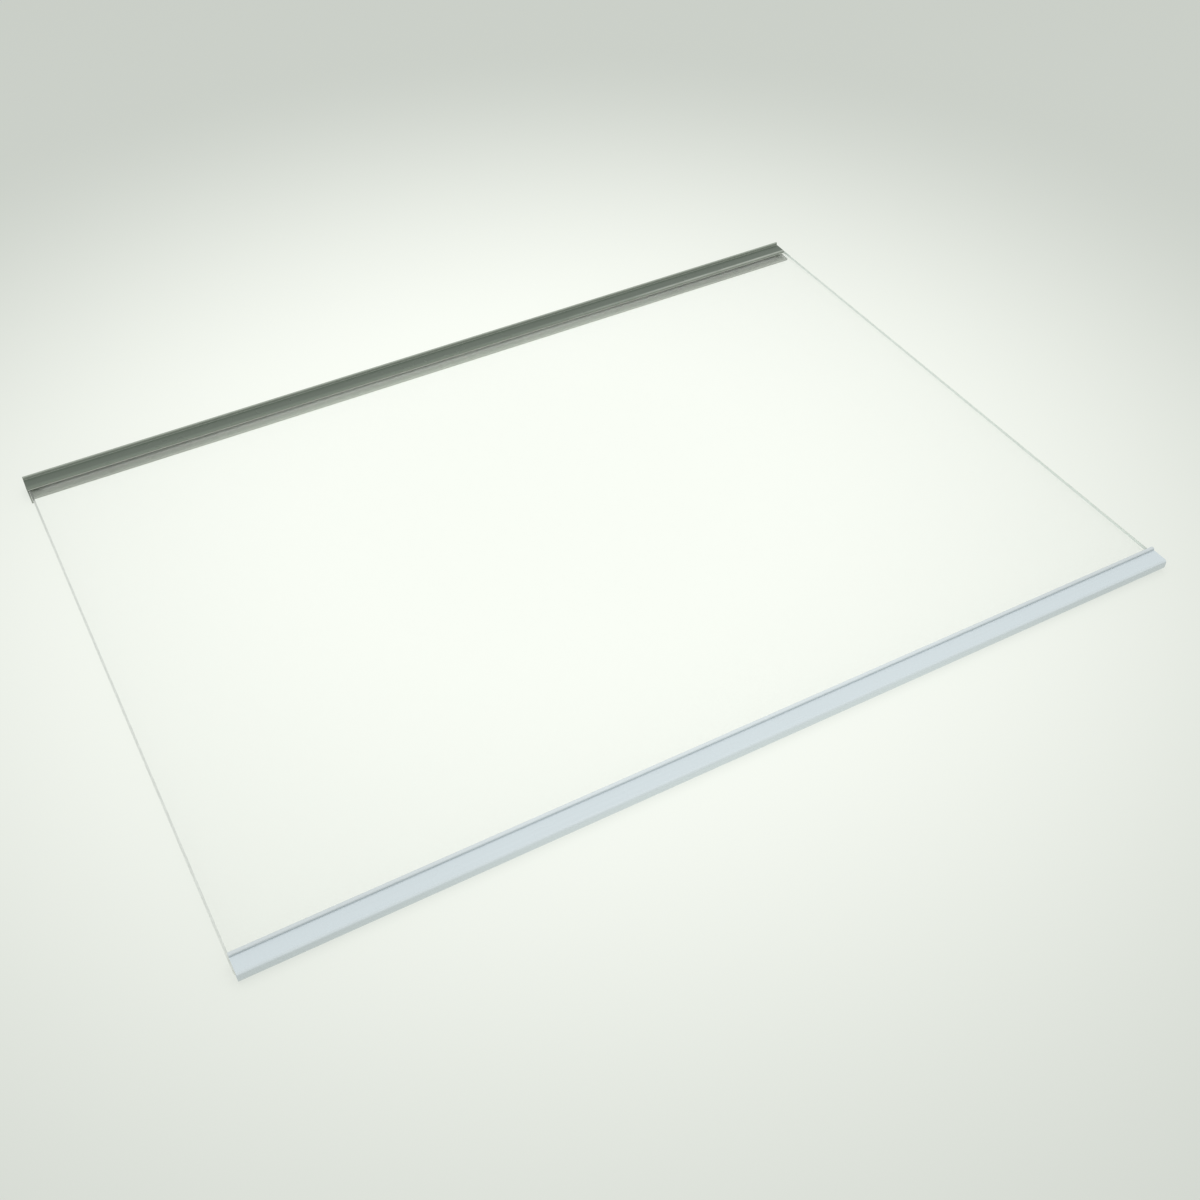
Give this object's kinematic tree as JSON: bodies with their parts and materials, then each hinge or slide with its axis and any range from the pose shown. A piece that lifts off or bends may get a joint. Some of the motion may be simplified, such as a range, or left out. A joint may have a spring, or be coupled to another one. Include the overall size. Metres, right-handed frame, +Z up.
{
  "type": "fridge glass shelf",
  "caption": "Flat clear glass refrigerator shelf, held on side ledges to carry food, with a pale push-on plastic trim along its front edge and a dark grey trim along its rear edge.",
  "frame": {"origin": "on the surface that the shelf lies on, under the middle of the glass, within a millimetre of the middle of the outline", "axes": "+X from the left side to the right side seen from the front, +Y from the front trim to the rear trim, +Z up"},
  "size_m": [0.4748, 0.3404, 0.0084],
  "materials": {
    "clear_glass": "clear, polished faces, ground edges",
    "pale_plastic": "smooth satin-gloss extrusion, pale blue-white",
    "grey_plastic": "smooth satin extrusion, dark grey"
  },
  "bodies": {
    "root": {"glass_pane": "clear_glass", "front_trim": "pale_plastic", "rear_trim": "grey_plastic"}
  },
  "joints": []
}
